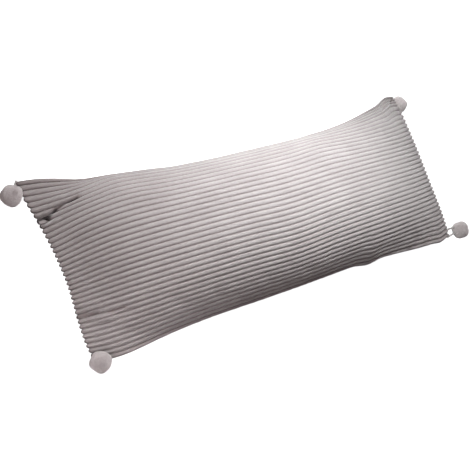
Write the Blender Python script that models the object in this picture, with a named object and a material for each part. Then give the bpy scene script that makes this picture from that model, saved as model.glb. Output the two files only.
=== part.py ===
"""Body pillow in channelled plush, with a yarn pompom tied to each corner. Metres, +Z up.

X runs along the pillow, Y across it. The origin is the middle of the bed, the flat of the back panel on which
the pillow lies. The ends are called left (-X) and right (+X), and the long sides front (-Y) and back (+Y).
"""
import math

import bmesh
import bpy
import numpy as np
from mathutils import Vector
from mathutils.bvhtree import BVHTree

# The two panels, as they are cut and sewn
PANEL_LENGTH = 1.370
PANEL_WIDTH = 0.510
RIBS = 37
RIB_HEIGHT = 0.0045
RIB_ROUNDNESS = 0.6
RIB_END = 0.005          # length over which a rib rounds off into the end seam
POINTS_PER_RIB = 3

# How far the filling pushes the panels out
SEAM_HEIGHT = 0.096      # the long seams at mid length, above the bed
BACK_SLOPE = 1.345       # slope of the panel where it meets the back seam, in radians
BACK_FULLNESS = 2.06     # a higher number keeps the crown flat for longer
FRONT_SLOPE = 1.056
FRONT_FULLNESS = 1.0
CREST = 0.036            # place of the crest, as a share of the half width
UNDERSIDE_SHARE = 1.15   # the underside's swell against the crown's
UNDERSIDE_FLATNESS = 1.3
GROOVE = 0.0015          # depth of the channels that stay open where the pillow's weight presses on them

# The limp shape of the filled bag as it lies
BOW = 0.042              # sideways curve of the whole pillow, per metre
TWIST = -0.026           # per metre
SAG = -0.10              # droop of both ends, per metre
EAR_ZONE = 0.55          # the ears begin at this share of the half length
EAR_SPREAD = 0.2         # how far an ear's shape reaches past the middle line
ENDS = (
    # side, fall, sharpness, arch of the seam, bulge of the seam
    (-1, 5.6, 1.66, -0.016, 0.023),
    (1, 3.8, 1.35, 0.038, 0.006),
)
EARS = (
    # x side, y side, lift, reach outwards along x, reach outwards along y
    (-1, 1, -0.033, 0.045, 0.008),
    (1, 1, 0.002, 0.000, 0.008),
    (1, -1, 0.021, 0.009, -0.008),
    (-1, -1, 0.000, -0.002, -0.014),
)
SEAM_BULGES = (
    # place along, y side, half length, how far the seam bulges towards the back
    (0.947, 1, 0.058, 0.0125),     # the gathered right back ear
    (0.940, -1, 0.040, -0.0060),
    (0.425, -1, 0.050, -0.0110),
    (-1.000, 1, 0.100, 0.0060),
    (-0.810, 1, 0.075, -0.0085),
    (-0.570, 1, 0.120, 0.0050),
)
BULGE_WIDTH = 0.30       # how far a bulge reaches in from its seam, as a share of the half width
FOLDS = (
    # from x, from y, to x, to y on the flat panel, height (a trough is negative), half width
    (-0.682, 0.146, -0.630, 0.166, -0.012, 0.009),    # tuck under the left back ear
    (-0.630, 0.166, -0.590, 0.174, -0.006, 0.009),
    (-0.660, 0.140, -0.640, 0.146, 0.006, 0.008),     # loop of cloth beside the tuck
    (-0.652, -0.128, -0.610, -0.129, -0.006, 0.007),  # pinch at the left front ear
    (-0.604, -0.142, -0.566, -0.137, -0.005, 0.007),
    (-0.632, -0.142, -0.618, -0.142, 0.004, 0.010),
    (0.490, -0.250, 0.520, -0.215, -0.005, 0.012),    # puckers along the right front seam
    (0.560, -0.250, 0.585, -0.210, -0.005, 0.012),
    (0.285, -0.255, 0.315, -0.215, -0.004, 0.014),
    (0.665, 0.250, 0.590, 0.200, -0.006, 0.012),      # gather of the right back ear
)

FOLD_FADE = 0.012        # the folds fade out this far from a seam
SWAYS = (
    # place along, place across, half length, half width, how many ribs the cloth sways towards the front
    (-1.05, 0.54, 0.14, 0.70, 2.00),    # the ribs fan out towards the left end
    (-0.72, 0.89, 0.13, 0.22, -0.90),   # and climb over the back side beyond the ear
    (-0.72, 0.54, 0.12, 0.26, -0.55),
    (-0.05, -0.31, 0.17, 0.63, 0.47),   # long waves over the rest of the panel
    (0.27, 0.54, 0.12, 0.23, -0.50),
    (0.75, 0.66, 0.40, 0.40, 0.65),
    (0.55, -0.71, 0.12, 0.17, 0.30),
)
CROWDING = 1.06          # ribs by which the cloth shifts to the back at its middle, twice that at the back seam
SWAY_FADE = 4            # every shift fades out over this many ribs from a long seam
CORNER_BLUNTNESS = 0.003 # how much of each sewn corner's edges its blunt end takes

# Stations along the pillow, closer together near its ends
STATIONS = 26
STATION_CROWDING = 0.90

# Yarn pompoms and their ties
POMPOM_RADIUS = 0.029
CORE_RADIUS = 0.019
LOCKS_A_SIDE = 3
LOCK_GAP = 0.0009
LOCK_TIP = 0.0016
LOCK_UNEVENNESS = 0.0010
POMPOMS = (
    # corner, x side, y side, centre x, centre y, centre z
    ("left_back", -1, 1, -0.7550, 0.2500, 0.0280),
    ("right_back", 1, 1, 0.7120, 0.2526, 0.0420),
    ("right_front", 1, -1, 0.7557, -0.2243, 0.0814),
    ("left_front", -1, -1, -0.6865, -0.2286, 0.0780),
)
CLEARANCE = 0.0004       # between pieces that touch
TIE_SIDES = 8
KNOT_RADIUS = 0.0023
LEAST_GAP = 0.00035      # a knot nearer the cloth than this is moved off the corner
KNOT_STEP = 0.00005      # by steps of this length
YARN_RADIUS = 0.0015
YARN_END = 0.0008        # length over which the yarn narrows into the pompom
KNOT_PROFILE = (
    # distance from the knot's middle towards the pompom, radius
    (-0.0024, 0.0008),
    (-0.0014, 0.0019),
    (-0.0005, KNOT_RADIUS),
    (0.0007, KNOT_RADIUS),
    (0.0018, YARN_RADIUS),
)

# A fine table of the bag's surface is worked out once, and every point of the panels is read from it
FINE_ALONG = np.sin(np.linspace(-math.pi / 2, math.pi / 2, 161))
FINE_ACROSS = np.linspace(-1.0, 1.0, 211)

PLUSH_COLOUR = (0.38, 0.335, 0.33, 1.0)
POMPOM_COLOUR = (0.42, 0.375, 0.36, 1.0)
TIE_COLOUR = (0.60, 0.56, 0.53, 1.0)


def clear_scene():
    for item in list(bpy.data.objects):
        bpy.data.objects.remove(item, do_unlink=True)


def material(name, colour, roughness):
    made = bpy.data.materials.new(name)
    made.use_nodes = True
    shader = made.node_tree.nodes["Principled BSDF"]
    shader.inputs["Base Color"].default_value = colour
    shader.inputs["Roughness"].default_value = roughness
    shader.inputs["Metallic"].default_value = 0.0
    return made


def finish_object(name, mesh_maker, finish, smooth_angle=math.radians(50)):
    """Writes a bmesh to an object with one material, shaded smooth up to an angle."""
    mesh = bpy.data.meshes.new(name)
    mesh_maker.to_mesh(mesh)
    mesh_maker.free()
    mesh.shade_smooth()
    mesh.set_sharp_from_angle(angle=smooth_angle)
    mesh.materials.append(finish)
    made = bpy.data.objects.new(name, mesh)
    bpy.context.scene.collection.objects.link(made)
    return made


def running_total(rate, at):
    """Integral of a rate along its last axis, from the first value on."""
    steps = np.diff(at)
    middle = (rate[..., 1:] + rate[..., :-1]) / 2 * steps
    start = np.zeros(rate.shape[:-1] + (1,))
    return np.concatenate([start, np.cumsum(middle, axis=-1)], axis=-1)


def by_end(along, column):
    """The value of one column of ENDS for the end that each point is nearer to."""
    left, right = ENDS
    return np.where(along < 0, left[column], right[column])


def near_end(along, side):
    return np.clip((side * along - EAR_ZONE) / (1 - EAR_ZONE), 0, 1) ** 2


def filled_bag():
    """The bag's middle surface and its crown, on the fine table.

    Cloth keeps its length: across and along, each step moves in by what its slope takes up. So the sides draw
    in where the crown is high, and the corners stay out as ears.
    """
    along, across = np.meshgrid(FINE_ALONG, FINE_ACROSS, indexing="ij")
    full = np.clip(1 - np.abs(along) ** by_end(along, 1), 0, 1) ** by_end(along, 2)
    crest = CREST * full
    to_back = np.clip((across - crest) / (1 - crest), 0, 1)
    to_front = np.clip((crest - across) / (1 + crest), 0, 1)
    slope = full * (FRONT_SLOPE * to_front**FRONT_FULLNESS - BACK_SLOPE * to_back**BACK_FULLNESS)
    half_width = PANEL_WIDTH / 2
    y = half_width * running_total(np.cos(slope), FINE_ACROSS)
    crown = half_width * running_total(np.sin(slope), FINE_ACROSS)
    lean = np.arctan2(crown[:, -1:], y[:, -1:])
    y, crown = y * np.cos(lean) + crown * np.sin(lean), crown * np.cos(lean) - y * np.sin(lean)
    y = y - y[:, -1:] / 2

    half_length = PANEL_LENGTH / 2
    climb = np.gradient(crown, FINE_ALONG, axis=0) / half_length
    drift = np.gradient(y, FINE_ALONG, axis=0) / half_length
    advance = np.sqrt(np.clip(1 - climb**2 - drift**2, 0.02, 1))
    x = half_length * running_total(advance.T, FINE_ALONG).T
    middle = len(FINE_ALONG) // 2
    x = x - x[middle : middle + 1]
    y = y - y[middle, len(FINE_ACROSS) // 2] + BOW * x**2

    hang = TWIST * x * y + SAG * x**2
    for side, _, _, arch, bulge in ENDS:
        seam_middle = near_end(along, side) * (1 - across**2)
        hang = hang + arch * seam_middle
        x = x + side * bulge * seam_middle
    for x_side, y_side, lift, reach_x, reach_y in EARS:
        ear = near_end(along, x_side) * np.clip((y_side * across + EAR_SPREAD) / (1 + EAR_SPREAD), 0, 1) ** 2
        hang = hang + lift * ear
        x = x + x_side * reach_x * ear
        y = y + y_side * reach_y * ear
    for at_along, y_side, half_length, bulge in SEAM_BULGES:
        away = ((along - at_along) / half_length) ** 2 + ((y_side * across - 1) / BULGE_WIDTH) ** 2
        y = y + bulge * np.exp(-away)
    return x, y, SEAM_HEIGHT + hang, np.maximum(crown, 0.0)


def underside(seam_height, crown):
    """Height of the underside: it swells down from the seam and spreads flat on the bed."""
    room = seam_height - GROOVE
    swell = UNDERSIDE_SHARE * crown / (UNDERSIDE_FLATNESS * room)
    return seam_height - room * (1 - np.clip(1 - swell, 0, 1) ** UNDERSIDE_FLATNESS)


def read_table(table, along, across):
    """The table's value between its lines, at one point of the panel."""
    row = np.interp(along, FINE_ALONG, np.arange(len(FINE_ALONG)))
    column = np.interp(across, FINE_ACROSS, np.arange(len(FINE_ACROSS)))
    i = min(int(row), len(FINE_ALONG) - 2)
    j = min(int(column), len(FINE_ACROSS) - 2)
    u, v = row - i, column - j
    first = table[i, j] * (1 - v) + table[i, j + 1] * v
    second = table[i + 1, j] * (1 - v) + table[i + 1, j + 1] * v
    return first * (1 - u) + second * u


def surface_and_normals(x, y, z, outward):
    """Points and unit normals of one panel, with the normals on its outer side."""
    points = np.stack([x, y, z], axis=-1)
    lengthwise = np.gradient(points, FINE_ALONG, axis=0)
    crosswise = np.gradient(points, FINE_ACROSS, axis=1)
    normals = np.cross(lengthwise, crosswise) * outward
    size = np.linalg.norm(normals, axis=-1, keepdims=True)
    return points, normals / np.maximum(size, 1e-12)


def rib_sway(along, across):
    """How far the cloth has shifted towards the front at one point, on the scale of the places across."""
    total = -CROWDING * (1 + across)
    for at_along, at_across, half_length, half_width, ribs in SWAYS:
        away = ((along - at_along) / half_length) ** 2 + ((across - at_across) / half_width) ** 2
        total += ribs * math.exp(-away)
    seam_room = min(1.0, (1 - abs(across)) * RIBS / 2 / SWAY_FADE)
    return total * seam_room * 2 / RIBS


def rib_profile(along, across):
    """Height of the channels as a share of RIB_HEIGHT: round on top, sharp at the stitching."""
    phase = (across + 1) / 2 * RIBS
    run_out = min(1.0, (1 - abs(along)) * PANEL_LENGTH / 2 / RIB_END)
    return abs(math.sin(math.pi * phase)) ** RIB_ROUNDNESS * run_out


def fold_height(along, across):
    """Sum of the folds at one point, each a soft trough or ridge round a line on the flat panel."""
    point = Vector((along * PANEL_LENGTH / 2, across * PANEL_WIDTH / 2))
    total = 0.0
    for from_x, from_y, to_x, to_y, height, half_width in FOLDS:
        start = Vector((from_x, from_y))
        run = Vector((to_x, to_y)) - start
        share = max(0.0, min(1.0, (point - start).dot(run) / run.length_squared))
        away = (point - start - run * share).length
        total += height * math.exp(-((away / half_width) ** 2))
    seam_room = min(1.0, (1 - abs(across)) * PANEL_WIDTH / 2 / FOLD_FADE)
    end_room = min(1.0, (1 - abs(along)) * PANEL_LENGTH / 2 / FOLD_FADE)
    return total * seam_room * end_room


def station(share):
    """Place of a station along the half length, from its share of the count.

    The last station before each end is where the ribs begin to round off.
    """
    last_inner = 1 - 2 / STATIONS
    if abs(share) > last_inner + 0.001:
        return math.copysign(1.0, share)
    turn = math.pi / 2 * STATION_CROWDING
    return (1 - RIB_END / (PANEL_LENGTH / 2)) * math.sin(share / last_inner * turn) / math.sin(turn)


def add_panel(bag, points, normals, folded):
    """One ribbed panel, as a grid laid onto the bag's surface."""
    grid = bmesh.ops.create_grid(bag, x_segments=STATIONS, y_segments=RIBS * POINTS_PER_RIB, size=1.0)
    if not folded:
        faces = {face for vert in grid["verts"] for face in vert.link_faces}
        bmesh.ops.reverse_faces(bag, faces=list(faces))
    for vert in grid["verts"]:
        along, across = station(vert.co.x), max(-1.0, min(1.0, vert.co.y))
        height = RIB_HEIGHT * rib_profile(along, across)
        across -= rib_sway(along, across)
        if folded:
            height += fold_height(along, across)
        place = Vector(read_table(points, along, across))
        outward = Vector(read_table(normals, along, across)).normalized()
        vert.co = place + outward * height
        vert.co.z = max(vert.co.z, 0.0)
    for corner in [vert for vert in grid["verts"] if len(vert.link_edges) == 2]:
        beside = {edge.other_vert(corner) for edge in corner.link_edges}
        opposite = [vert for vert in corner.link_faces[0].verts if vert not in beside and vert != corner]
        bmesh.ops.connect_verts(bag, verts=[corner] + opposite)


def seam_place(along, across):
    x, y, seam_height, _ = filled_bag()
    return Vector(read_table(np.stack([x, y, seam_height], axis=-1), along, across))


def make_cushion(finish):
    x, y, seam_height, crown = filled_bag()
    bag = bmesh.new()
    add_panel(bag, *surface_and_normals(x, y, seam_height + crown, 1), folded=True)
    add_panel(bag, *surface_and_normals(x, y, underside(seam_height, crown), -1), folded=False)
    bmesh.ops.remove_doubles(bag, verts=bag.verts[:], dist=0.00002)
    tips = [seam_place(x_side, y_side) for x_side, y_side, *_ in EARS]
    corners = [min(bag.verts, key=lambda vert: (vert.co - tip).length) for tip in tips]
    bmesh.ops.bevel(
        bag, geom=corners, offset=CORNER_BLUNTNESS, affect="VERTICES", segments=1, profile=0.5, material=-1
    )
    surface = BVHTree.FromBMesh(bag)
    finish_object("cushion", bag, finish, math.radians(35))
    return surface


def knot_place(cushion_surface, x_side, y_side):
    """Middle of a tie's knot, which sits against the blunt end of the sewn corner."""
    on_long_seam = seam_place(x_side * (1 - CORNER_BLUNTNESS / (PANEL_LENGTH / 2)), y_side)
    on_end_seam = seam_place(x_side, y_side * (1 - CORNER_BLUNTNESS / (PANEL_WIDTH / 2)))
    blunt_end = (on_long_seam + on_end_seam) / 2
    outward = (seam_place(x_side, y_side) - blunt_end).normalized()
    knot = blunt_end + outward * (KNOT_RADIUS + CLEARANCE)
    while cushion_surface.find_nearest(knot)[3] < KNOT_RADIUS + LEAST_GAP:
        knot = knot + outward * KNOT_STEP
    return knot


def lock_reach(index):
    """How far a lock stands out: a little more or less from one to the next."""
    return POMPOM_RADIUS - LOCK_TIP + LOCK_UNEVENNESS * math.sin(index * 2.4)


def make_pompom(corner, knot, centre, finish):
    """A ball of yarn: a core, and square locks that stand apart but for their roots.

    One lock points at the tie's knot. The ball's reach there is given back for the tie's length.
    """
    ball = bmesh.new()
    bmesh.ops.create_cube(ball, size=2.0)
    bmesh.ops.subdivide_edges(ball, edges=ball.edges[:], cuts=LOCKS_A_SIDE - 1, use_grid_fill=True)
    for vert in ball.verts:
        spread = Vector([math.tan(c * math.pi / 4) for c in vert.co])
        vert.co = spread.normalized() * CORE_RADIUS
    roots = ball.faces[:]
    bmesh.ops.inset_individual(ball, faces=roots, thickness=LOCK_GAP / 2, depth=0.0, use_even_offset=True)
    tops = bmesh.ops.extrude_discrete_faces(ball, faces=roots)["faces"]
    for index, top in enumerate(tops):
        for vert in top.verts:
            vert.co = vert.co.normalized() * lock_reach(index)
    bmesh.ops.poke(ball, faces=tops, offset=LOCK_TIP)
    reach = max(vert.co.z for vert in ball.verts)
    turn = (knot - centre).to_track_quat("Z", "Y")
    bmesh.ops.rotate(ball, verts=ball.verts[:], cent=(0, 0, 0), matrix=turn.to_matrix())
    for vert in ball.verts:
        # Where the ball lies on the bed, its locks are shorter and end level on it
        if centre.z + vert.co.z < 0.0:
            vert.co *= centre.z / -vert.co.z
    made = finish_object("pompom_" + corner, ball, finish)
    made.location = centre
    return reach


def make_tie(corner, knot, centre, reach, finish):
    """The short yarn, knotted against the sewn corner, that holds a pompom."""
    way = centre - knot
    length = way.length - reach - CLEARANCE
    profile = KNOT_PROFILE + ((length - YARN_END, YARN_RADIUS), (length, YARN_RADIUS / 2))
    first_at, first_radius = profile[0]
    yarn = bmesh.new()
    ring = bmesh.ops.create_circle(yarn, cap_ends=True, segments=TIE_SIDES, radius=first_radius)["verts"]
    bmesh.ops.translate(yarn, verts=ring, vec=(0, 0, first_at))
    for (at, radius), (last_at, last_radius) in zip(profile[1:], profile[:-1]):
        cap = [face for face in yarn.faces if all(vert in ring for vert in face.verts)]
        grown = bmesh.ops.extrude_face_region(yarn, geom=cap)["geom"]
        bmesh.ops.delete(yarn, geom=cap, context="FACES_ONLY")
        ring = [item for item in grown if isinstance(item, bmesh.types.BMVert)]
        bmesh.ops.translate(yarn, verts=ring, vec=(0, 0, at - last_at))
        bmesh.ops.scale(yarn, verts=ring, vec=(radius / last_radius, radius / last_radius, 1))
    bottom = [vert for vert in yarn.verts if vert.co.z < first_at + 1e-6]
    bmesh.ops.contextual_create(yarn, geom=bottom)
    bmesh.ops.recalc_face_normals(yarn, faces=yarn.faces[:])
    made = finish_object("tie_" + corner, yarn, finish)
    made.rotation_euler = way.to_track_quat("Z", "Y").to_euler()
    made.location = knot


clear_scene()
plush = material("plush", PLUSH_COLOUR, 0.85)
pompom_yarn = material("pompom_yarn", POMPOM_COLOUR, 0.90)
tie_yarn = material("tie_yarn", TIE_COLOUR, 0.80)
cushion_surface = make_cushion(plush)
for corner_name, side_x, side_y, *middle in POMPOMS:
    pompom_centre = Vector(middle)
    knot_middle = knot_place(cushion_surface, side_x, side_y)
    ball_reach = make_pompom(corner_name, knot_middle, pompom_centre, pompom_yarn)
    make_tie(corner_name, knot_middle, pompom_centre, ball_reach, tie_yarn)
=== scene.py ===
# %% [markdown]
# # A long ribbed pillow with four pompoms
#
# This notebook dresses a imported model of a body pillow: a plush bag with raised channels, called ribs,
# filled until its long sides draw in, with a yarn pompom tied to each corner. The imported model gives
# every piece's place, and this script gives each one its fine shape and its cloth.
#
# Everything is in metres. X runs along the pillow, Y across it and Z up. The left end is at -X and the
# front long side at -Y. The model is loaded first, because each new piece has to stay where its solid is.

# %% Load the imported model
import math
import random

import bmesh
import bpy
import numpy as np
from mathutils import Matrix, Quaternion, Vector


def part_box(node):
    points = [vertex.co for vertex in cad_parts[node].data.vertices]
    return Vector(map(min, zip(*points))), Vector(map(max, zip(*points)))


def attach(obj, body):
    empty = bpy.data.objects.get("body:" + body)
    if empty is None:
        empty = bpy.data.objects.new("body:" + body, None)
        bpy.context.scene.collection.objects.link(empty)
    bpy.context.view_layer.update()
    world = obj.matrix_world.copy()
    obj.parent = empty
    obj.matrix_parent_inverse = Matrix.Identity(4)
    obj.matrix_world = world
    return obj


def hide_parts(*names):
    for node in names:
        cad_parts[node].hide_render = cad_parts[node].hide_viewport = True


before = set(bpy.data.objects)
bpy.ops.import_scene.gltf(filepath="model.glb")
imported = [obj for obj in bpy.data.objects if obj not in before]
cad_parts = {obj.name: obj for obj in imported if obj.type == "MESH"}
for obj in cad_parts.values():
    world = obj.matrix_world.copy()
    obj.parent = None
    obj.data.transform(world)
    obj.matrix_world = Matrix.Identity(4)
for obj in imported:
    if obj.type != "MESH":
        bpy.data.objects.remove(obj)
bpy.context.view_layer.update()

# %% [markdown]
# ## Camera
# The camera looks down on the pillow from beyond its left end, turned on its side so that the pillow runs
# across the picture. A long lens keeps the far end from shrinking much. The camera is aimed at a point
# inside the pillow, and then rolled about its own line of sight.

# %% Camera
CAMERA_PLACE = Vector((-1.7729, -0.1318, 2.3024))
CAMERA_AIM = Vector((-0.1725, -0.0182, 0.1000))
CAMERA_ROLL = math.radians(68.14)
CAMERA_LENS = 73.0


def make_camera():
    settings = bpy.data.cameras.new("camera")
    settings.lens = CAMERA_LENS
    settings.sensor_width = 36.0
    settings.clip_start = 0.05
    settings.clip_end = 60.0
    camera = bpy.data.objects.new("camera", settings)
    bpy.context.scene.collection.objects.link(camera)
    aim = (CAMERA_AIM - CAMERA_PLACE).to_track_quat("-Z", "Y")
    camera.rotation_mode = "QUATERNION"
    camera.rotation_quaternion = aim @ Quaternion((0, 0, 1), CAMERA_ROLL)
    camera.location = CAMERA_PLACE
    bpy.context.scene.camera = camera
    return camera


camera = make_camera()
print("camera right:", [round(v, 3) for v in camera.rotation_quaternion @ Vector((1, 0, 0))])

# %% [markdown]
# ## The sewn bag
# Two panels of ribbed plush, 1.37 m by 0.51 m, are sewn together round the edge and filled. The cloth
# can't stretch, so where the filling lifts the middle, the sides draw in, and the corners stay out as
# limp ears.
#
# That can be modelled by pushing a box about by hand, by inflating a flat bag in a simulation, or by a
# formula that keeps the cloth's length. The formula is used here, since it puts the crown and the ears
# where the solid has them: at each place across the panel the cloth has a slope, and its width is the sum
# of the slope's cosine and its height the sum of the sine. The sizes are the solid's, but for one bulge
# of the front seam, which is drawn a little softer.

# %% Sizes of the bag
PANEL_LENGTH = 1.370
PANEL_WIDTH = 0.510
RIBS = 37
RIB_HEIGHT = 0.0045
SEAM_HEIGHT = 0.096
BACK_SLOPE = 1.345  # slope of the cloth at the back seam, in radians
BACK_FULLNESS = 2.06  # how suddenly the cloth turns down towards that seam
FRONT_SLOPE = 1.056
FRONT_FULLNESS = 1.0
CREST = 0.036  # place of the highest line across the panel
UNDERSIDE_SHARE = 1.15  # how far the underside swells, as a share of the crown
UNDERSIDE_FLATNESS = 1.3
GROOVE = 0.0015  # height of the stitching over the bed where the pillow lies on it
BOW = 0.042  # how the whole pillow curves, seen from above
TWIST = -0.026
SAG = -0.10  # how the ends hang
EAR_ZONE = 0.55  # share of the half length at which the ears begin
EAR_SPREAD = 0.2  # how far an ear reaches past the middle of the panel
LEAST_ADVANCE = 0.02  # keeps the steep last step at an end seam from folding back
ENDS = (
    # side, fall, sharpness, arch of the seam, bulge of the seam
    (-1, 5.6, 1.66, -0.016, 0.023),
    (1, 3.8, 1.35, 0.038, 0.006),
)
EARS = (
    # x side, y side, lift, reach outwards along x, reach outwards along y
    (-1, 1, -0.033, 0.045, 0.008),
    (1, 1, 0.002, 0.000, 0.008),
    (1, -1, 0.021, 0.009, -0.008),
    (-1, -1, 0.000, -0.002, -0.014),
)
SEAM_BULGES = (
    # place along, y side, half length, how far the seam bulges towards the back
    (0.947, 1, 0.058, 0.0125),     # the gathered right back ear
    (0.940, -1, 0.040, -0.0060),
    (0.425, -1, 0.065, -0.0085),
    (-1.000, 1, 0.100, 0.0060),
    (-0.810, 1, 0.075, -0.0085),
    (-0.570, 1, 0.120, 0.0050),
)
BULGE_WIDTH = 0.30  # how far a bulge reaches in from its seam, as a share of the half width
HALF_LENGTH = PANEL_LENGTH / 2
HALF_WIDTH = PANEL_WIDTH / 2

# %% Surface of the filled bag


def running_total(rate, at):
    """Integral of a rate along its last axis, from the first value on."""
    middle = (rate[..., 1:] + rate[..., :-1]) / 2 * np.diff(at)
    start = np.zeros(rate.shape[:-1] + (1,))
    return np.concatenate([start, np.cumsum(middle, axis=-1)], axis=-1)


def near_end(along, side):
    return np.clip((side * along - EAR_ZONE) / (1 - EAR_ZONE), 0, 1) ** 2


def filled_bag(stations, places):
    """The bag's middle surface and crown, at stations along it and places across it, both from -1 to 1."""
    along, across = np.meshgrid(stations, places, indexing="ij")
    (_, left_fall, left_sharp, _, _), (_, right_fall, right_sharp, _, _) = ENDS
    fall = np.where(along < 0, left_fall, right_fall)
    sharpness = np.where(along < 0, left_sharp, right_sharp)
    full = np.clip(1 - np.abs(along) ** fall, 0, 1) ** sharpness
    crest = CREST * full
    to_back = np.clip((across - crest) / (1 - crest), 0, 1)
    to_front = np.clip((crest - across) / (1 + crest), 0, 1)
    slope = full * (FRONT_SLOPE * to_front**FRONT_FULLNESS - BACK_SLOPE * to_back**BACK_FULLNESS)
    y = HALF_WIDTH * running_total(np.cos(slope), places)
    crown = HALF_WIDTH * running_total(np.sin(slope), places)
    lean = np.arctan2(crown[:, -1:], y[:, -1:])
    y, crown = y * np.cos(lean) + crown * np.sin(lean), crown * np.cos(lean) - y * np.sin(lean)
    y = y - y[:, -1:] / 2

    climb = np.gradient(crown, stations, axis=0) / HALF_LENGTH
    drift = np.gradient(y, stations, axis=0) / HALF_LENGTH
    advance = np.sqrt(np.clip(1 - climb**2 - drift**2, LEAST_ADVANCE, 1))
    x = HALF_LENGTH * running_total(advance.T, stations).T
    middle = len(stations) // 2
    x = x - x[middle : middle + 1]
    y = y - y[middle, len(places) // 2] + BOW * x**2

    hang = TWIST * x * y + SAG * x**2
    for side, _, _, arch, bulge in ENDS:
        seam_middle = near_end(along, side) * (1 - across**2)
        hang = hang + arch * seam_middle
        x = x + side * bulge * seam_middle
    for x_side, y_side, lift, reach_x, reach_y in EARS:
        ear = near_end(along, x_side) * np.clip((y_side * across + EAR_SPREAD) / (1 + EAR_SPREAD), 0, 1) ** 2
        hang = hang + lift * ear
        x = x + x_side * reach_x * ear
        y = y + y_side * reach_y * ear
    for at_along, y_side, half_length, bulge in SEAM_BULGES:
        away = ((along - at_along) / half_length) ** 2 + ((y_side * across - 1) / BULGE_WIDTH) ** 2
        y = y + bulge * np.exp(-away)
    return x, y, SEAM_HEIGHT + hang, np.maximum(crown, 0.0)


def underside(seam_height, crown):
    """Height of the underside: it swells down from the seam and spreads flat on the bed."""
    room = seam_height - GROOVE
    swell = UNDERSIDE_SHARE * crown / (UNDERSIDE_FLATNESS * room)
    return seam_height - room * (1 - np.clip(1 - swell, 0, 1) ** UNDERSIDE_FLATNESS)


TABLE_STATIONS = 160
TABLE_PLACES = 210
TABLE_ALONG = np.sin(np.linspace(-math.pi / 2, math.pi / 2, TABLE_STATIONS + 1))
TABLE_ACROSS = np.linspace(-1.0, 1.0, TABLE_PLACES + 1)
bag_x, bag_y, bag_seam, bag_crown = filled_bag(TABLE_ALONG, TABLE_ACROSS)
front_table = np.stack([bag_x, bag_y, bag_seam + bag_crown], axis=-1)
back_table = np.stack([bag_x, bag_y, underside(bag_seam, bag_crown)], axis=-1)
print("crown top at", round(float(front_table[..., 2].max()), 4), "m")

# %% [markdown]
# ## Reading a table smoothly
# The pillow's surface is known on a table of stations. A finer mesh needs points between them, and
# straight lines between the table's points would show as facets across the cloth. A cubic spline is used,
# written as a matrix of weights: each new row is a mix of four old rows, so one matrix product moves a
# whole table.

# %% Spline weights
SHORTEST = 1e-12  # keeps a missing direction from being divided by nothing


def spline_weights(wanted, known):
    """Weights that read a table kept at the known places at the wanted ones, through a Catmull-Rom spline."""
    row = np.interp(wanted, known, np.arange(len(known)))
    first = np.minimum(row.astype(int), len(known) - 2)
    t = row - first
    shares = (
        -0.5 * t**3 + t**2 - 0.5 * t,
        1.5 * t**3 - 2.5 * t**2 + 1,
        -1.5 * t**3 + 2 * t**2 + 0.5 * t,
        0.5 * t**3 - 0.5 * t**2,
    )
    weights = np.zeros((len(wanted), len(known)))
    for step, share in zip((-1, 0, 1, 2), shares):
        column = np.clip(first + step, 0, len(known) - 1)
        np.add.at(weights, (np.arange(len(wanted)), column), share)
    return weights


def read_table(table, known, stations, places):
    """The table's points at the stations, where each station has its own row of places."""
    rows = np.einsum("ai,ijc->ajc", spline_weights(stations, known[0]), table)
    return np.stack([spline_weights(place, known[1]) @ row for place, row in zip(places, rows)])


def same_places(stations, places):
    """The same row of places for every station."""
    return np.tile(places, (len(stations), 1))


def unit(directions):
    """The same directions with a length of one."""
    return directions / np.maximum(np.linalg.norm(directions, axis=-1, keepdims=True), SHORTEST)


def panel_normals(points, stations, places, outward):
    """Unit normals of a table of points, on the panel's outer side."""
    lengthwise = np.gradient(points, stations, axis=0)
    crosswise = np.gradient(points, places, axis=1)
    return unit(np.cross(lengthwise, crosswise) * outward)


# %% [markdown]
# ## Letting the cloth settle
# A formula gives a bag that is too even. Real plush is cut a little longer than the filling needs, so it
# waves softly near the seams. Blender's cloth simulation finds those waves: a smooth copy of the bag is
# given one part in a hundred too much cloth, held at its seams and at the bed, and filled with pressure
# for twenty frames. With more cloth it crumples like paper, which ribbed plush is too stiff to do. Each
# point's move is eased off below one millimetre, so the pillow keeps the solid's shape. The ribs come
# later, because they are finer than this mesh.
#
# A panel is a flat grid whose points go to their places in a table. Two of them are sewn into a bag by
# merging the points of their edges, which meet at the seam.

# %% Simulated bag
SIM_STATIONS = 120
SIM_PLACES = 64
SIM_PRESSURE = 4.0
SIM_FRAMES = 20
SIM_EXTRA_CLOTH = 0.010
SIM_CAP = 0.0008  # no point moves further than this
SHORTEST_MOVE = 1e-9
WELD_DISTANCE = 0.00002
sim_along = np.linspace(-1, 1, SIM_STATIONS + 1)
sim_across = np.linspace(-1, 1, SIM_PLACES + 1)


def grid_panel(maker, stations, places, facing_up):
    """A flat grid with a square for each step of the table, seen from above or from below."""
    grid = bmesh.ops.create_grid(maker, x_segments=stations, y_segments=places, size=1.0)["verts"]
    if not facing_up:
        bmesh.ops.reverse_faces(maker, faces=list({face for vert in grid for face in vert.link_faces}))
    return grid


def table_index(grid, stations, places):
    """For each vertex of a flat grid, its row and column in the table."""
    flat = np.array([vert.co for vert in grid])
    rows = np.rint((flat[:, 0] + 1) / 2 * stations).astype(int)
    columns = np.rint((flat[:, 1] + 1) / 2 * places).astype(int)
    return rows, columns


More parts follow.
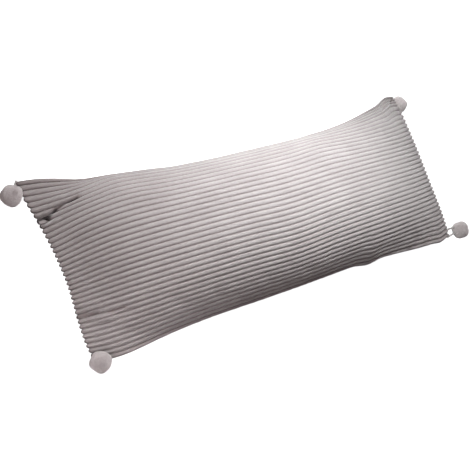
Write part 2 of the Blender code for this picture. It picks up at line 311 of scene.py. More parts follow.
def two_panel_mesh(name, front, back):
    """Both panels as one mesh, still apart at the seam, and each one's rows and columns."""
    stations, places = front.shape[0] - 1, front.shape[1] - 1
    maker = bmesh.new()
    index = []
    for points, facing_up in ((front, True), (back, False)):
        grid = grid_panel(maker, stations, places, facing_up)
        rows, columns = table_index(grid, stations, places)
        for vert, place in zip(grid, points[rows, columns]):
            vert.co = place
        index.append((rows, columns))
    mesh = bpy.data.meshes.new(name)
    maker.to_mesh(mesh)
    maker.free()
    return mesh, index


def joined(index):
    """The rows and the columns of both panels' points, each as one list."""
    rows, columns = zip(*index)
    return np.concatenate(rows), np.concatenate(columns)


def sew(mesh):
    """Merges the panels' edge points. Returns each kept point's old number, and how many edges stay open."""
    sewn = bmesh.new()
    sewn.from_mesh(mesh)
    old_number = sewn.verts.layers.int.new("panel_vertex")
    for number, vert in enumerate(sewn.verts):
        vert[old_number] = number
    edge_points = [vert for vert in sewn.verts if vert.is_boundary]
    bmesh.ops.remove_doubles(sewn, verts=edge_points, dist=WELD_DISTANCE)
    kept = [vert[old_number] for vert in sewn.verts]
    open_edges = sum(not edge.is_manifold for edge in sewn.edges)
    sewn.verts.layers.int.remove(old_number)
    sewn.to_mesh(mesh)
    sewn.free()
    return kept, open_edges


def link_object(name, mesh):
    made = bpy.data.objects.new(name, mesh)
    bpy.context.scene.collection.objects.link(made)
    return made


def coordinates(mesh):
    flat = np.zeros(len(mesh.vertices) * 3)
    mesh.vertices.foreach_get("co", flat)
    return flat.reshape(-1, 3)


# %% Settling


def add_cloth(bag):
    """Makes a bag cloth that is held in its group called held and filled with pressure."""
    cloth = bag.modifiers.new("cloth", "CLOTH")
    cloth.settings.quality = 6
    cloth.settings.mass = 0.3
    cloth.settings.tension_stiffness = 20
    cloth.settings.compression_stiffness = 20
    cloth.settings.shear_stiffness = 8
    cloth.settings.bending_stiffness = 1.5
    cloth.settings.vertex_group_mass = "held"
    cloth.settings.use_pressure = True
    cloth.settings.uniform_pressure_force = SIM_PRESSURE
    cloth.settings.shrink_min = -SIM_EXTRA_CLOTH
    cloth.settings.effector_weights.gravity = 0.0
    cloth.point_cache.frame_start = 1
    cloth.point_cache.frame_end = SIM_FRAMES


def settle(front, back):
    """How far each point of both panels moves when the bag is filled with pressure, at most SIM_CAP."""
    mesh, index = two_panel_mesh("settling", front, back)
    panel_points = len(mesh.vertices) // 2
    bag = link_object("settling", mesh)
    kept, _ = sew(mesh)
    places = coordinates(mesh)
    rows, columns = joined(index)
    on_seam = np.isin(rows, (0, SIM_STATIONS)) | np.isin(columns, (0, SIM_PLACES))
    held = on_seam[kept] | (places[:, 2] < 2 * GROOVE)
    group = bag.vertex_groups.new(name="held")
    group.add(np.flatnonzero(held).tolist(), 1.0, "REPLACE")
    add_cloth(bag)
    for number in range(1, SIM_FRAMES + 1):
        bpy.context.scene.frame_set(number)
    settled = bag.evaluated_get(bpy.context.evaluated_depsgraph_get()).to_mesh()
    # Points that were merged at the seam are held, so they don't move
    moved = np.zeros((len(rows), 3))
    moved[kept] = coordinates(settled) - places
    reach = np.linalg.norm(moved, axis=1, keepdims=True)
    moved *= SIM_CAP * np.tanh(reach / SIM_CAP) / np.maximum(reach, SHORTEST_MOVE)
    bpy.context.scene.frame_set(1)
    bpy.data.objects.remove(bag, do_unlink=True)
    tables = []
    for (rows, columns), panel_moved in zip(index, (moved[:panel_points], moved[panel_points:])):
        table = np.zeros(front.shape)
        table[rows, columns] = panel_moved
        tables.append(table)
    return tables


sim_places = (sim_along, sim_across)
table_places = (TABLE_ALONG, TABLE_ACROSS)
sim_rows = same_places(sim_along, sim_across)
sim_front = read_table(front_table, table_places, sim_along, sim_rows)
sim_back = read_table(back_table, table_places, sim_along, sim_rows)
front_moved, back_moved = settle(sim_front, sim_back)
print("front panel moved by up to", round(float(np.abs(front_moved).max()) * 1000, 1), "mm")

# %% [markdown]
# ## Ribs and creases
# The plush is channelled: 37 soft ribs run the whole length of each panel, round on top and sharp where
# they are stitched down. They could be a displacement texture, but real ribs show in the outline, at the
# ends most of all, where each one closes like a fingertip. So they are in the mesh, with eight faces over
# each rib, closer together at the stitching. Where the filling pulls the cloth tight over the crown the
# ribs are flatter, and towards the seams, where it is slack, they stand higher.
#
# The creases are listed on the flat panel, each as a soft trough or ridge round a short line: a
# tuck and a loop of cloth under the left back ear, pinches near the left front ear, a slit where the
# right back ear is drawn together, and puckers along the front seam. Where two troughs meet only the
# deeper one counts, or the crease would have a pit at each joint. The ribs don't run dead straight
# either: the filling pushes the cloth about, so they sway in long waves and fan out at the left end. Each
# wave is a soft bump in how far the cloth has shifted.

# %% Rib and fold sizes
RIB_ROUNDNESS = 0.6  # less makes a rib broader on top and steeper at its stitching
RIB_FACES = 8
RIB_END = 0.0075  # a rib closes over this last length at an end seam
RIB_END_ROLL = 0.0078  # how far its end rolls out past the seam
RIB_SLACK = 1.25  # height of a rib in slack cloth, as a share of RIB_HEIGHT
RIB_PULL = 0.45  # how much of that share the filling takes away on the crown
END_SLACK = 0.35  # how much the ends add to it
RIB_UNEVENNESS = 0.09
UNEVEN_WAVES = (5, 9, 14)
END_ROWS = 6
INNER_ROWS = 156
ROW_BUNCHING = 0.86  # at 1 the inner rows would crowd together at the ends, at 0 they would be even
FOLDS = (
    # from x, from y, to x, to y on the flat panel, height (a trough is negative), half width
    (-0.692, 0.137, -0.668, 0.150, -0.022, 0.0080),
    (-0.668, 0.150, -0.640, 0.168, -0.012, 0.0050),
    (-0.640, 0.168, -0.585, 0.191, -0.010, 0.0045),
    (-0.678, 0.172, -0.622, 0.198, 0.005, 0.011),
    (-0.670, 0.131, -0.652, 0.141, 0.006, 0.0055),
    (-0.680, -0.120, -0.640, -0.122, -0.006, 0.0050),
    (-0.616, -0.130, -0.580, -0.128, -0.006, 0.0050),
    (-0.604, -0.142, -0.566, -0.137, -0.003, 0.0070),
    (-0.636, -0.140, -0.606, -0.142, 0.004, 0.0090),
    (0.490, -0.250, 0.520, -0.215, -0.0030, 0.018),
    (0.560, -0.250, 0.585, -0.210, -0.0030, 0.018),
    (0.285, -0.255, 0.315, -0.215, -0.0025, 0.020),
    (0.673, 0.243, 0.655, 0.232, -0.007, 0.004),
    (0.655, 0.250, 0.600, 0.238, -0.003, 0.010),
)
FOLD_FADE = 0.004  # folds fade out this close to a seam
SWAYS = (
    # place along, place across, half length, half width, how many ribs the cloth sways towards the front
    (-1.05, 0.54, 0.14, 0.70, 2.00),
    (-0.90, 0.86, 0.10, 0.26, 1.30),
    (-0.72, 0.89, 0.13, 0.22, -0.90),
    (-0.72, 0.54, 0.12, 0.26, -0.55),
    (-0.05, -0.31, 0.17, 0.63, 0.47),
    (0.27, 0.54, 0.12, 0.23, -0.50),
    (0.75, 0.66, 0.40, 0.40, 0.65),
    (0.55, -0.71, 0.12, 0.17, 0.30),
)
CROWDING = 1.06  # the ribs crowd towards the back seam, by up to twice this many ribs
SWAY_FADE = 4  # the sway fades out over this many ribs at a long seam

# %% Rows and columns of the fine mesh


def rib_places():
    """Places across the panel, closer together at the stitching between two ribs."""
    phase = (1 - np.cos(math.pi * np.arange(RIB_FACES) / RIB_FACES)) / 2
    places = (np.arange(RIBS)[:, None] + phase[None, :]).ravel()
    return np.append(places, RIBS) / RIBS * 2 - 1


def row_places():
    """Stations along the panel: close together where the ribs' ends round off, then further apart."""
    turn = math.pi / 2 * ROW_BUNCHING
    share = np.linspace(-1, 1, INNER_ROWS + 1)
    inner = (1 - RIB_END / HALF_LENGTH) * np.sin(share * turn) / math.sin(turn)
    steps = 1 - np.cos(math.pi / 2 * np.arange(END_ROWS) / END_ROWS)
    end = 1 - RIB_END / HALF_LENGTH * steps
    return np.concatenate([-end, inner, end[::-1]])


fine_along, fine_across = row_places(), rib_places()
print("fine mesh:", len(fine_along), "rows of", len(fine_across), "points a panel")

# %% Sway, ribs and folds on the panel


def from_end(along):
    """Distance along the cloth to the nearer end seam."""
    return (1 - np.abs(along)) * HALF_LENGTH


def rib_sway(along, across):
    """How far the cloth has shifted towards the front, on the scale of the places across."""
    total = -CROWDING * (1 + across)
    for at_along, at_across, half_length, half_width, ribs in SWAYS:
        away = ((along - at_along) / half_length) ** 2 + ((across - at_across) / half_width) ** 2
        total += ribs * np.exp(-away)
    seam_room = np.clip((1 - np.abs(across)) * RIBS / 2 / SWAY_FADE, 0, 1)
    return total * seam_room * 2 / RIBS


def rib_profile(across):
    phase = (across + 1) / 2 * RIBS
    return np.abs(np.sin(math.pi * phase)) ** RIB_ROUNDNESS


def unevenness(along, across, seed):
    """Slow noise from -1 to 1 that differs from rib to rib."""
    draw = np.random.default_rng(seed)
    total = np.zeros_like(along)
    rib = np.floor((across + 1) / 2 * RIBS - 1e-9)
    for waves in UNEVEN_WAVES:
        shift = draw.uniform(0, 2 * math.pi, RIBS + 1)
        total += np.sin(waves * math.pi * along + shift[rib.astype(int) + 1]) / len(UNEVEN_WAVES)
    return total


def fold_height(along, across):
    """The deepest trough and the highest ridge at each place, each soft round a line on the flat panel."""
    at_x = along * HALF_LENGTH
    at_y = across * HALF_WIDTH
    troughs, ridges = np.zeros_like(at_x), np.zeros_like(at_x)
    for from_x, from_y, to_x, to_y, height, half_width in FOLDS:
        run_x, run_y = to_x - from_x, to_y - from_y
        share = ((at_x - from_x) * run_x + (at_y - from_y) * run_y) / (run_x**2 + run_y**2)
        share = np.clip(share, 0, 1)
        away = np.hypot(at_x - from_x - run_x * share, at_y - from_y - run_y * share)
        shape = height * np.exp(-((away / half_width) ** 2))
        troughs, ridges = np.minimum(troughs, shape), np.maximum(ridges, shape)
    return troughs + ridges


# %% The two ribbed panels


def ribbed(table, moved, outward, seed):
    """A panel's fine points: the bag's surface, settled, with its ribs and folds raised on it."""
    along, across = np.meshgrid(fine_along, fine_across, indexing="ij")
    swayed = across - rib_sway(along, across)
    points = read_table(table, table_places, fine_along, swayed)
    points += read_table(moved, sim_places, fine_along, swayed)
    normals = panel_normals(points, fine_along, fine_across, outward)
    rounding = np.clip(from_end(along) / RIB_END, 0, 1)
    profile = rib_profile(across)
    height = RIB_HEIGHT * profile * np.sin(math.pi / 2 * rounding) ** RIB_ROUNDNESS
    height *= 1 + RIB_UNEVENNESS * unevenness(along, across, seed)
    pull = read_table(bag_crown[..., None], table_places, fine_along, swayed)[..., 0] / bag_crown.max()
    height *= RIB_SLACK - RIB_PULL * pull + END_SLACK * (near_end(along, -1) + near_end(along, 1))
    if outward > 0:
        seam_room = np.minimum((1 - np.abs(across)) * HALF_WIDTH, from_end(along))
        height += fold_height(along, swayed) * np.clip(seam_room / FOLD_FADE, 0, 1)
    end_way = unit(np.gradient(points, fine_along, axis=0))
    roll = RIB_END_ROLL * profile * np.sin(math.pi * rounding) * np.sign(along)
    points += normals * height[..., None] + end_way * roll[..., None]
    points[..., 2] = np.maximum(points[..., 2], 0.0)
    return points


front_points = ribbed(front_table, front_moved, 1, seed=11)
back_points = ribbed(back_table, back_moved, -1, seed=12)
print("ribbed front reaches", round(float(front_points[..., 2].max()), 4), "m high")

# %% [markdown]
# ## Plush
# Short-pile plush is hardly shiny: each fibre scatters the light, so the cloth looks pale where it turns
# away from the eye and deeper where the pile faces it. A Principled shader does this with a high roughness
# and a sheen. Shade is also painted into the colour: a painted shade in the channels that goes to a paler
# painted light with the height on the rib, a painted shade along the long seams, and a near-black painted
# shadow at the end seams and down in the folds. The pile leans, so fine streaks run slantwise over the
# ribs. They are noise on the panel's own map, which is in metres, stretched along the lean of the pile.

# %% Painted shade on the plush
PAINTED_CHANNEL_LIGHTNESS = 0.15  # lightness of the painted shade in a channel between the ribs
PAINTED_SIDE_LIGHTNESS = 0.45  # lightness of the painted shade right at a long seam
SEAM_SHADE = 0.008  # how far in from an end seam the ribs are painted darker
CHANNEL_SHADE = 0.045  # how far in from an end seam the channels are painted darker
SIDE_SHADE = 0.030  # how far in from a long seam both are painted darker
FOLD_SHADE = 0.011  # a fold of this depth is painted as dark as an end seam


def painted_shade_lightness(has_folds):
    """Painted lightness at each point: 1 on a rib's top, PAINTED_CHANNEL_LIGHTNESS in a channel, 0 in a fold
    or at an end seam, and lower along the long seams; all of it painted shade.
    """
    along, across = np.meshgrid(fine_along, fine_across, indexing="ij")
    on_rib = rib_profile(across) * np.clip(from_end(along) / SEAM_SHADE, 0, 1)
    in_channel = np.clip(from_end(along) / CHANNEL_SHADE, 0, 1)
    share = PAINTED_CHANNEL_LIGHTNESS * in_channel + (1 - PAINTED_CHANNEL_LIGHTNESS) * on_rib
    from_side = (1 - np.abs(across)) * HALF_WIDTH
    share *= PAINTED_SIDE_LIGHTNESS + (1 - PAINTED_SIDE_LIGHTNESS) * np.clip(from_side / SIDE_SHADE, 0, 1)
    # Folds get a painted shadow, darker the deeper they go.
    if has_folds:
        depth = -fold_height(along, across - rib_sway(along, across)) / FOLD_SHADE
        share *= 1 - np.clip(depth, 0, 1)
    return share


# The painted lightness of each panel, with painted shadow in the front's folds only; the print gives its mean
# on the front.
front_painted_shade, back_painted_shade = painted_shade_lightness(True), painted_shade_lightness(False)
print("pile is", round(float(front_painted_shade.mean()), 2), "open on the front panel")

# %% Node helpers
NO_SHADE = (1, 1, 1, 1)
CLOTH_SPECULAR = 0.15


def new_material(name, roughness, sheen, sheen_roughness, sheen_tint):
    made = bpy.data.materials.new(name)
    made.use_nodes = True
    shader = made.node_tree.nodes["Principled BSDF"]
    shader.inputs["Roughness"].default_value = roughness
    shader.inputs["Sheen Weight"].default_value = sheen
    shader.inputs["Sheen Roughness"].default_value = sheen_roughness
    shader.inputs["Sheen Tint"].default_value = sheen_tint
    shader.inputs["Specular IOR Level"].default_value = CLOTH_SPECULAR
    return made, shader


def add_node(material, kind, **inputs):
    node = material.node_tree.nodes.new(kind)
    for name, value in inputs.items():
        node.inputs[name.replace("_", " ")].default_value = value
    return node


def wire(material, source, target):
    material.node_tree.links.new(source, target)


def noise_on(material, vector, scale, detail, stretch=(1, 1, 1), turn=0.0):
    """Noise on a map. Stretch makes it finer along each of the map's axes, and turn slants it."""
    mapping = add_node(material, "ShaderNodeMapping")
    mapping.inputs["Rotation"].default_value = (0, 0, turn)
    mapping.inputs["Scale"].default_value = stretch
    noise = add_node(material, "ShaderNodeTexNoise", Scale=scale, Detail=detail)
    wire(material, vector, mapping.inputs["Vector"])
    wire(material, mapping.outputs["Vector"], noise.inputs["Vector"])
    return noise.outputs["Fac"]


def colour_steps(material, factor, steps):
    ramp = material.node_tree.nodes.new("ShaderNodeValToRGB")
    while len(ramp.color_ramp.elements) < len(steps):
        ramp.color_ramp.elements.new(0.5)
    for element, (place, colour) in zip(ramp.color_ramp.elements, steps):
        element.position = place
        element.color = colour
    wire(material, factor, ramp.inputs["Fac"])
    return ramp.outputs["Color"]


def multiplied(material, first, second):
    mix = material.node_tree.nodes.new("ShaderNodeMix")
    mix.data_type = "RGBA"
    mix.blend_type = "MULTIPLY"
    sockets = {socket.identifier: socket for socket in mix.inputs}
    sockets["Factor_Float"].default_value = 1.0
    wire(material, first, sockets["A_Color"])
    wire(material, second, sockets["B_Color"])
    return {socket.identifier: socket for socket in mix.outputs}["Result_Color"]


def bump_on(material, height, strength, distance):
    bump = add_node(material, "ShaderNodeBump", Strength=strength, Distance=distance)
    wire(material, height, bump.inputs["Height"])
    return bump


# %% Plush material
# Colours keyed to the painted lightness: a near-black painted shadow, the painted channel shade, the cloth's
# own colour and a paler painted light on the rib tops.
PLUSH_PAINTED_SHADOW = (0.022, 0.018, 0.018, 1)
PLUSH_PAINTED_CHANNEL_SHADE = (0.118, 0.092, 0.090, 1)
PLUSH_BODY = (0.345, 0.300, 0.298, 1)
PLUSH_PAINTED_RIB_LIGHT = (0.415, 0.382, 0.382, 1)
PLUSH_SHEEN = (0.96, 0.93, 0.93, 1)
STREAK_SHADE = (0.80, 0.79, 0.79, 1)
CLOUD_SHADE = (0.90, 0.89, 0.89, 1)
PILE_LEAN = math.radians(62)


def plush_material():
    plush, shader = new_material(
        "plush", roughness=0.95, sheen=0.90, sheen_roughness=0.50, sheen_tint=PLUSH_SHEEN
    )
    panel_map = add_node(plush, "ShaderNodeUVMap")
    panel_map.uv_map = "panel"
    flat = panel_map.outputs["UV"]
    # The base colour is painted shade and light, read from the painted lightness kept at each point.
    height = add_node(plush, "ShaderNodeAttribute")
    height.attribute_name = "painted_lightness"
    steps = ((0.0, PLUSH_PAINTED_SHADOW), (PAINTED_CHANNEL_LIGHTNESS, PLUSH_PAINTED_CHANNEL_SHADE), (0.5, PLUSH_BODY), (1.0, PLUSH_PAINTED_RIB_LIGHT))
    base = colour_steps(plush, height.outputs["Fac"], steps)
    streaks = noise_on(plush, flat, scale=1.0, detail=4.0, stretch=(130, 480, 1), turn=PILE_LEAN)
    streak_shade = colour_steps(plush, streaks, ((0.30, STREAK_SHADE), (0.70, NO_SHADE)))
    clouds = noise_on(plush, flat, scale=9.0, detail=3.0, stretch=(1, 1.6, 1))
    cloud_shade = colour_steps(plush, clouds, ((0.35, CLOUD_SHADE), (0.68, NO_SHADE)))
    colour = multiplied(plush, base, streak_shade)
    colour = multiplied(plush, colour, cloud_shade)
    wire(plush, colour, shader.inputs["Base Color"])
    fibres = noise_on(plush, flat, scale=1.0, detail=3.0, stretch=(900, 1500, 1), turn=PILE_LEAN)
    pile = bump_on(plush, fibres, 0.35, 0.0010)
    nap = bump_on(plush, streaks, 0.45, 0.0016)
    wire(plush, nap.outputs["Normal"], pile.inputs["Normal"])
    wire(plush, pile.outputs["Normal"], shader.inputs["Normal"])
    return plush


plush = plush_material()

# %% [markdown]
# ## The cushion
# The two ribbed panels are laid out as flat grids, and every grid point goes to its place in the tables.
# Then the panels are sewn: their edge points meet and are merged, so the pillow is one closed skin. Each
# panel keeps its flat layout as a UV map in metres, for the pile, and each point keeps its painted
# lightness, which sets the painted shade of the channels, seams and folds.

# %% Cushion
SHARP_EDGE = math.radians(55)


def add_panel_map(mesh, index):
    """Writes the flat layout in metres as a UV map, and the painted lightness at each point, which sets the
    painted shade.
    """
    rows, columns = joined(index)
    corners = np.zeros(len(mesh.loops), int)
    mesh.loops.foreach_get("vertex_index", corners)
    layout = mesh.uv_layers.new(name="panel")
    flat = np.stack([fine_along[rows] * HALF_LENGTH, fine_across[columns] * HALF_WIDTH], axis=-1)
    layout.data.foreach_set("uv", flat[corners].ravel())
    # The painted lightness of both panels, kept as a point attribute for the plush's painted shade.
    pile = np.concatenate([table[panel] for table, panel in zip((front_painted_shade, back_painted_shade), index)])
    height = mesh.attributes.new("painted_lightness", "FLOAT", "POINT")
    height.data.foreach_set("value", pile)


def make_cushion():
    mesh, index = two_panel_mesh("body_cushion", front_points, back_points)
    add_panel_map(mesh, index)
    _, open_edges = sew(mesh)
    mesh.shade_smooth()
    mesh.set_sharp_from_angle(angle=SHARP_EDGE)
    mesh.materials.append(plush)
    made = link_object("body_cushion", mesh)
    print("cushion:", len(mesh.polygons), "faces,", open_edges, "open edges")
    return made


cushion = make_cushion()
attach(cushion, "root")
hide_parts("cushion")

# %% [markdown]
# ## Pompoms
# A pompom is some hundreds of turns of yarn, tied in the middle, cut and clipped to a ball. Close up it
# is all cut ends. Particle hair could make it, but hair has no mesh to keep. Here an icosphere gives the
# pattern: each of its small faces is inset, pulled out to the ball's surface and closed with a tip, so
# that the locks stand apart but for their roots. Their lengths and leans vary a little, from a seeded
# random draw.

# %% Pompom sizes
POMPOM_RADIUS = 0.0284
POMPOM_CORE = 0.0256
POMPOM_DETAIL = 5
LOCK_GAP = 0.00016
LOCK_TIP = 0.0004
LOCK_UNEVENNESS = 0.0007
LOCK_LEAN = 0.0007
LUMPS = 0.0012
LUMP_SCALES = (2.1, 1.7, 1.9)  # how fast lumps follow each other along Y, Z and X
LUMP_WAVES = (2.3, 2.9, 2.1)
LUMP_SHIFT = 1.3
LOCK_SHARP_EDGE = math.radians(50)
FIRST_SEED = 3
CORNERS = ("left_back", "right_back", "right_front", "left_front")

# %% Pompom material
# The yarn is painted darker down towards the locks' roots, a painted shade in the gaps between locks.
YARN_PAINTED_ROOT_SHADE = (0.62, 0.56, 0.56, 1)
YARN_TIP = (0.77, 0.722, 0.722, 1)
YARN_SHEEN = (0.97, 0.95, 0.95, 1)
PATCH_SHADE = (0.88, 0.87, 0.87, 1)


def pompom_material():
    yarn, shader = new_material(
        "pompom_yarn", roughness=0.95, sheen=0.45, sheen_roughness=0.50, sheen_tint=YARN_SHEEN
    )
    # Painted shade: the colour goes from the painted root shade to the yarn's tip colour up each lock.
    height = add_node(yarn, "ShaderNodeAttribute")
    height.attribute_name = "painted_lightness"
    base = colour_steps(yarn, height.outputs["Fac"], ((0.0, YARN_PAINTED_ROOT_SHADE), (0.85, YARN_TIP)))
    place = add_node(yarn, "ShaderNodeTexCoord").outputs["Object"]
    patches = noise_on(yarn, place, scale=160.0, detail=3.0)
    patch_shade = colour_steps(yarn, patches, ((0.3, PATCH_SHADE), (0.7, NO_SHADE)))
    wire(yarn, multiplied(yarn, base, patch_shade), shader.inputs["Base Color"])
    fibres = noise_on(yarn, place, scale=1400.0, detail=2.0)
    wire(yarn, bump_on(yarn, fibres, 0.5, 0.0008).outputs["Normal"], shader.inputs["Normal"])
    return yarn


pompom_yarn = pompom_material()

# %% Pompoms


def lumpy(direction, seed):
    """A small change of radius that makes the clipped ball a little uneven."""
    y_scale, z_scale, x_scale = LUMP_SCALES
    y_wave, z_wave, x_wave = LUMP_WAVES
    from_y = math.sin(y_wave * (direction.y * y_scale + seed))
    from_z = math.sin(z_wave * (direction.z * z_scale - seed) + LUMP_SHIFT)
    from_x = math.cos(x_wave * (direction.x * x_scale + seed / 2))
    return LUMPS * (from_y + from_z * from_x)


def make_pompom(corner, seed):
    low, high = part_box("pompom_" + corner)
    middle = (low + high) / 2
    draw = random.Random(seed)
    ball = bmesh.new()
    bmesh.ops.create_icosphere(ball, subdivisions=POMPOM_DETAIL, radius=POMPOM_CORE)
    # Painted lightness: 1 on the locks' tops and tips, 0 at their roots, for the painted shade in the gaps.
    share = ball.verts.layers.float.new("painted_lightness")
    roots = ball.faces[:]
    bmesh.ops.inset_individual(ball, faces=roots, thickness=LOCK_GAP, depth=0.0, use_even_offset=True)
    tops = bmesh.ops.extrude_discrete_faces(ball, faces=roots)["faces"]
    for top in tops:
        outward = top.calc_center_median().normalized()
        reach = POMPOM_RADIUS - LOCK_TIP + lumpy(outward, seed) + draw.uniform(-1, 1) * LOCK_UNEVENNESS
        lean = Vector([draw.uniform(-1, 1) * LOCK_LEAN for _ in range(3)])
        for vert in top.verts:
            vert.co = vert.co.normalized() * reach + lean
            vert[share] = 1.0
    tips = bmesh.ops.poke(ball, faces=tops, offset=LOCK_TIP)["verts"]
    for tip in tips:
        tip[share] = 1.0
    for vert in ball.verts:
        # Where a pompom lies on the bed, its locks end level on it
        if middle.z + vert.co.z < 0.0:
            vert.co *= middle.z / -vert.co.z
    bmesh.ops.translate(ball, verts=ball.verts[:], vec=middle)
    mesh = bpy.data.meshes.new("pompom_ball_" + corner)
    ball.to_mesh(mesh)
    ball.free()
    mesh.shade_smooth()
    mesh.set_sharp_from_angle(angle=LOCK_SHARP_EDGE)
    mesh.materials.append(pompom_yarn)
    made = link_object("pompom_ball_" + corner, mesh)
    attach(made, "root")
    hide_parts("pompom_" + corner)
    return made


pompoms = [make_pompom(corner, seed) for seed, corner in enumerate(CORNERS, FIRST_SEED)]
print("pompoms:", [len(pompom.data.polygons) for pompom in pompoms], "faces")

# %% [markdown]
# ## Ties
# Each pompom hangs on a short yarn. The yarn is drawn through the sewn corner, knotted, and tied round
# the pompom's middle, so two lengths of it run side by side and on into the ball. Each length has two
# plies, twisted round each other. A plain cylinder would do from far off, but it would look like a wire
# close up. Here each ply is a curve with a round bevel that winds round its length's path, and the knot
# is a few tight turns at the corner. At the right front corner the cloth has pulled the two lengths
# apart, so they make a small open loop.

# %% Tie sizes
PLY_RADIUS = 0.00195
PLY_OFFSET = 0.00170
PLY_TURN = 0.0110  # length of one twist
PLY_STEPS = 10  # points to a twist
LEAST_PLY_STEPS = 8
KNOT_RADIUS = 0.0018
KNOT_TURNS = 3
KNOT_STEPS = 12  # points to a turn of the knot
KNOT_AHEAD = 0.0060  # how far the knot reaches from the corner towards its pompom
KNOT_BEHIND = 0.0020
TIE_SAG = 0.0020
TIE_DEPTH = 0.009  # how far the lengths go into the ball
TIE_SPREAD = 0.70  # how far apart they still are there, as a share of their distance at the cloth
TIES = (
    # corner, row and column of the panel's corner point, distance between the two lengths at the cloth
    ("left_back", 0, -1, 0.0030),
    ("right_back", -1, -1, 0.0030),
    ("right_front", -1, 0, 0.0230),
    ("left_front", 0, 0, 0.0030),
)

# %% Tie material
TIE_DARK = (0.36, 0.33, 0.32, 1)
TIE_LIGHT = (0.56, 0.53, 0.52, 1)
TIE_SHEEN = (1.0, 0.98, 0.96, 1)


def tie_material():
    yarn, shader = new_material(
        "tie_yarn", roughness=0.90, sheen=0.35, sheen_roughness=0.50, sheen_tint=TIE_SHEEN
    )
    place = add_node(yarn, "ShaderNodeTexCoord").outputs["Object"]
    fibres = noise_on(yarn, place, scale=900.0, detail=3.0)
    colour = colour_steps(yarn, fibres, ((0.32, TIE_DARK), (0.66, TIE_LIGHT)))
    wire(yarn, colour, shader.inputs["Base Color"])
    wire(yarn, bump_on(yarn, fibres, 0.4, 0.0004).outputs["Normal"], shader.inputs["Normal"])
    return yarn


tie_yarn = tie_material()

# %% Ties


def arc(start, turn, end, steps):
    """Points of a smooth curve from start to end that bends towards turn."""
    shares = [number / steps for number in range(steps + 1)]
    return [start * (1 - s) ** 2 + turn * 2 * s * (1 - s) + end * s**2 for s in shares]


def wound(path, offset, turn, phase):
    """Points that wind round a path, one full turn over each length given as turn."""
    points, gone = [], 0.0
    for number, point in enumerate(path):
        before, after = path[max(0, number - 1)], path[min(len(path) - 1, number + 1)]
        ahead = (after - before).normalized()
        side = ahead.cross(Vector((0, 0, 1))).normalized()
        angle = gone / turn * 2 * math.pi + phase
        points.append(point + (side * math.cos(angle) + side.cross(ahead) * math.sin(angle)) * offset)
        gone += (after - point).length
    return points


def add_ply(curve, points, radius):
    spline = curve.splines.new("POLY")
    spline.points.add(len(points) - 1)
    for knob, point in zip(spline.points, points):
        knob.co = (*point, 1.0)
        knob.radius = radius


def make_tie(corner, row, column, gap):
    low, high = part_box("pompom_" + corner)
    middle = (low + high) / 2
    seam = [Vector(point) for point in front_points[row]]
    if column == -1:
        seam.reverse()
    tip = seam[0]
    second = next(point for point in seam if (point - tip).length >= gap)
    way = (middle - tip).normalized()
    end = middle - way * (POMPOM_RADIUS - TIE_DEPTH)
    curve = bpy.data.curves.new("tie_strands_" + corner, "CURVE")
    curve.dimensions = "3D"
    curve.bevel_depth = 1.0
    curve.bevel_resolution = 2
    curve.use_fill_caps = True
    for start in (tip, second):
        finish = end + (start - tip) * TIE_SPREAD
        steps = max(LEAST_PLY_STEPS, round((finish - start).length / PLY_TURN * PLY_STEPS))
        turn = (start + finish) / 2 - Vector((0, 0, TIE_SAG))
        path = arc(start, turn, finish, steps)
        for phase in (0.0, math.pi):
            add_ply(curve, wound(path, PLY_OFFSET, PLY_TURN, phase), PLY_RADIUS)
    knot_path = arc(tip - way * KNOT_BEHIND, tip, tip + way * KNOT_AHEAD, KNOT_STEPS * KNOT_TURNS)
    knot_turn = (KNOT_BEHIND + KNOT_AHEAD) / KNOT_TURNS
    add_ply(curve, wound(knot_path, KNOT_RADIUS, knot_turn, 0.0), PLY_RADIUS)
    drawn = bpy.data.objects.new("tie_curve", curve)
    bpy.context.scene.collection.objects.link(drawn)
    bpy.context.view_layer.update()
    mesh = bpy.data.meshes.new_from_object(drawn)
    bpy.data.objects.remove(drawn, do_unlink=True)
    mesh.name = "tie_strands_" + corner
    mesh.shade_smooth()
    mesh.materials.clear()
    mesh.materials.append(tie_yarn)
    made = link_object("tie_strands_" + corner, mesh)
    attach(made, "root")
    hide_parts("tie_" + corner)
    return made


ties = [make_tie(*row) for row in TIES]
print("ties:", [len(tie.data.polygons) for tie in ties], "faces")

# %% [markdown]
# ## Floor, light and background
# The pillow lies on a plain white floor, which is bright to the camera but doesn't light the cloth from
# below. The key light is a soft square of half a metre, close by behind the back side: it lights each rib
# on its back slope and leaves the front slope in shade, which shows how round the ribs are. A narrower
# beam lifts the crown right of the middle. The fill is a large square high beyond the left end, slightly
# pink, and a small one lights the left front corner. A single lamp would leave the front side black, and
# an even sky would flatten the ribs, so the backdrop past the floor's edge is white to the camera alone.

# %% Floor
FLOOR_HALF = 14.0
FLOOR_DROP = 0.0004


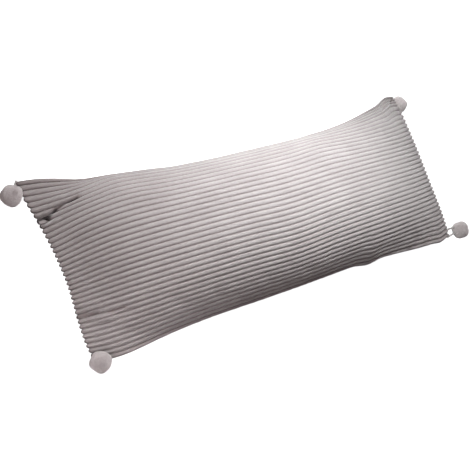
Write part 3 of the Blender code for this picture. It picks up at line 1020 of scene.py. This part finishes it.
def make_floor():
    maker = bmesh.new()
    bmesh.ops.create_grid(maker, x_segments=1, y_segments=1, size=FLOOR_HALF)
    bmesh.ops.translate(maker, verts=maker.verts[:], vec=(0, 0, -FLOOR_DROP))
    mesh = bpy.data.meshes.new("floor")
    maker.to_mesh(mesh)
    maker.free()
    paint = bpy.data.materials.new("floor_paper")
    paint.use_nodes = True
    shader = paint.node_tree.nodes["Principled BSDF"]
    shader.inputs["Base Color"].default_value = (0.9, 0.9, 0.9, 1)
    shader.inputs["Roughness"].default_value = 0.9
    shader.inputs["Specular IOR Level"].default_value = 0.0
    shader.inputs["Emission Color"].default_value = (1, 1, 1, 1)
    shader.inputs["Emission Strength"].default_value = 1.0
    mesh.materials.append(paint)
    floor = link_object("floor", mesh)
    floor.visible_diffuse = False
    return floor


make_floor()

# %% Lights
LIGHTS = (
    # name, place, aim, side, power, spread of the beam in degrees, colour
    ("key_light", (-0.20, 0.65, 0.93), (0.18, 0.0, 0.12), 0.5, 14.5, 180, (0.955, 1.0, 1.0)),
    ("beam_light", (0.41, 0.87, 1.19), (0.18, 0.0, 0.12), 0.5, 2.7, 60, (0.955, 1.0, 1.0)),
    ("fill_light", (-1.85, 0.0, 2.30), (-0.05, 0.0, 0.12), 1.2, 28.0, 180, (1.0, 0.90, 0.90)),
    ("corner_light", (-1.75, -0.85, 1.50), (-0.68, -0.26, 0.05), 0.4, 0.26, 24, (1.0, 0.98, 0.98)),
)
WORLD_STRENGTH = 1.0


def make_light(name, place, aim, side, power, spread, colour):
    settings = bpy.data.lights.new(name, "AREA")
    settings.shape = "SQUARE"
    settings.size = side
    settings.energy = power
    settings.spread = math.radians(spread)
    settings.color = colour
    light = bpy.data.objects.new(name, settings)
    bpy.context.scene.collection.objects.link(light)
    light.visible_camera = False
    light.location = place
    light.rotation_euler = (Vector(aim) - Vector(place)).to_track_quat("-Z", "Y").to_euler()


for row in LIGHTS:
    make_light(*row)
world = bpy.data.worlds.new("studio")
world.use_nodes = True
world.node_tree.nodes["Background"].inputs["Color"].default_value = (1, 1, 1, 1)
world.node_tree.nodes["Background"].inputs["Strength"].default_value = WORLD_STRENGTH
world.cycles_visibility.diffuse = False
world.cycles_visibility.glossy = False
bpy.context.scene.world = world
bpy.context.scene.view_settings.view_transform = "Standard"
